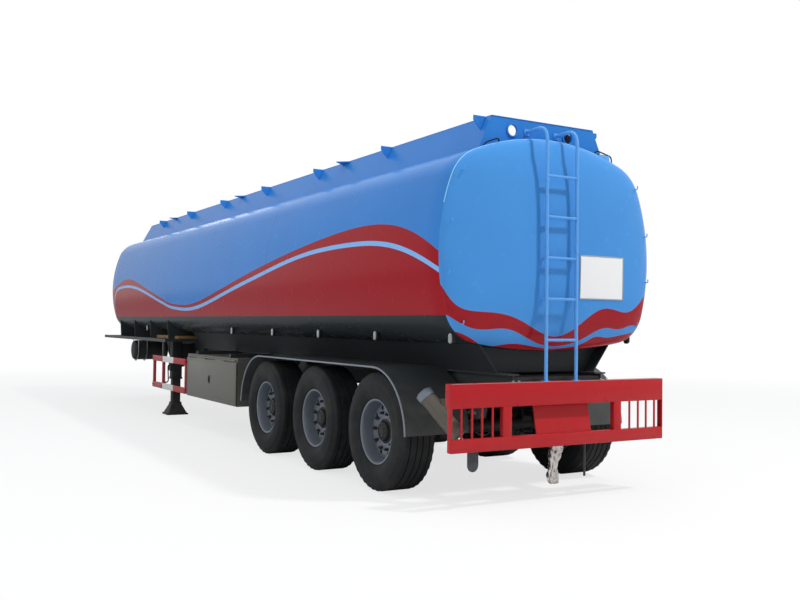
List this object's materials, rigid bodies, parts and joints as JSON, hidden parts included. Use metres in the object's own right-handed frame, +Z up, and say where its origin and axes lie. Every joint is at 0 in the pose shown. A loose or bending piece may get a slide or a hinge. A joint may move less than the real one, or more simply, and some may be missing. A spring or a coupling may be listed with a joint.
{
  "type": "tanker semi-trailer",
  "caption": "Semi-trailer for liquids: rounded box-section tank with manhole trough, rear ladder, side locker, landing legs and sprung axles on turning wheels.",
  "frame": {"origin": "centre of the bounding box at ground level", "axes": "+Z up, the coupling end faces -Y, +X is the trailer's left side"},
  "size_m": [2.5, 12.32, 3.339],
  "materials": {
    "tank_paint": "gloss",
    "chassis_paint": "satin",
    "red_paint": "gloss",
    "tyre": "matte",
    "wheel_steel": "satin silver",
    "stainless": "brushed",
    "tube_metal": "satin"
  },
  "bodies": {
    "trailer": {"tank_barrel": "tank_paint", "rear_head": "tank_paint", "front_head": "tank_paint", "coaming": "tank_paint", "axle_1": "chassis_paint", "axle_2": "chassis_paint", "axle_3": "chassis_paint", "rear_frame": "chassis_paint", "front_frame": "chassis_paint", "landing_gear": "chassis_paint", "mudguard_left": "chassis_paint", "mudguard_right": "chassis_paint", "side_guard_left": "red_paint", "side_guard_right": "red_paint", "locker": "stainless", "bumper": "red_paint", "ladder": "tank_paint", "reservoir_left": "chassis_paint", "reservoir_right": "chassis_paint", "discharge_pipes": "chassis_paint", "holder_tube": "tube_metal"},
    "wheel_set_left_1": {"wheel_left_1": "wheel_steel", "tyre_left_1_outer": "tyre", "tyre_left_1_inner": "tyre"},
    "wheel_set_left_2": {"wheel_left_2": "wheel_steel", "tyre_left_2_outer": "tyre", "tyre_left_2_inner": "tyre"},
    "wheel_set_left_3": {"wheel_left_3": "wheel_steel", "tyre_left_3_outer": "tyre", "tyre_left_3_inner": "tyre"},
    "wheel_set_right_1": {"wheel_right_1": "wheel_steel", "tyre_right_1_outer": "tyre", "tyre_right_1_inner": "tyre"},
    "wheel_set_right_2": {"wheel_right_2": "wheel_steel", "tyre_right_2_outer": "tyre", "tyre_right_2_inner": "tyre"},
    "wheel_set_right_3": {"wheel_right_3": "wheel_steel", "tyre_right_3_outer": "tyre", "tyre_right_3_inner": "tyre"},
    "manhole_lid_1": {"manhole_lid_1": "tank_paint"},
    "manhole_lid_2": {"manhole_lid_2": "tank_paint"},
    "manhole_lid_3": {"manhole_lid_3": "tank_paint"},
    "manhole_lid_4": {"manhole_lid_4": "tank_paint"},
    "locker_door": {"locker_door": "stainless"}
  },
  "joints": [
    {"name": "wheel_left_1_spin", "type": "hinge", "parent": "trailer", "child": "wheel_set_left_1", "pos_m": [0.93, 2.35, 0.535], "axis": [1, 0, 0], "continuous": true},
    {"name": "wheel_left_2_spin", "type": "hinge", "parent": "trailer", "child": "wheel_set_left_2", "pos_m": [0.93, 3.66, 0.535], "axis": [1, 0, 0], "continuous": true},
    {"name": "wheel_left_3_spin", "type": "hinge", "parent": "trailer", "child": "wheel_set_left_3", "pos_m": [0.93, 4.97, 0.535], "axis": [1, 0, 0], "continuous": true},
    {"name": "wheel_right_1_spin", "type": "hinge", "parent": "trailer", "child": "wheel_set_right_1", "pos_m": [-0.93, 2.35, 0.535], "axis": [1, 0, 0], "continuous": true},
    {"name": "wheel_right_2_spin", "type": "hinge", "parent": "trailer", "child": "wheel_set_right_2", "pos_m": [-0.93, 3.66, 0.535], "axis": [1, 0, 0], "continuous": true},
    {"name": "wheel_right_3_spin", "type": "hinge", "parent": "trailer", "child": "wheel_set_right_3", "pos_m": [-0.93, 4.97, 0.535], "axis": [1, 0, 0], "continuous": true},
    {"name": "manhole_lid_1_hinge", "type": "hinge", "parent": "trailer", "child": "manhole_lid_1", "pos_m": [0, -3.41875, 3.252], "axis": [-1, 0, 0], "range_deg": [0, 100]},
    {"name": "manhole_lid_2_hinge", "type": "hinge", "parent": "trailer", "child": "manhole_lid_2", "pos_m": [0, -0.70625, 3.252], "axis": [-1, 0, 0], "range_deg": [0, 100]},
    {"name": "manhole_lid_3_hinge", "type": "hinge", "parent": "trailer", "child": "manhole_lid_3", "pos_m": [0, 2.00625, 3.252], "axis": [-1, 0, 0], "range_deg": [0, 100]},
    {"name": "manhole_lid_4_hinge", "type": "hinge", "parent": "trailer", "child": "manhole_lid_4", "pos_m": [0, 4.71875, 3.252], "axis": [-1, 0, 0], "range_deg": [0, 100]},
    {"name": "locker_door_hinge", "type": "hinge", "parent": "trailer", "child": "locker_door", "pos_m": [1.171, 0.225, 1.02], "axis": [0, -1, 0], "range_deg": [0, 90]}
  ]
}
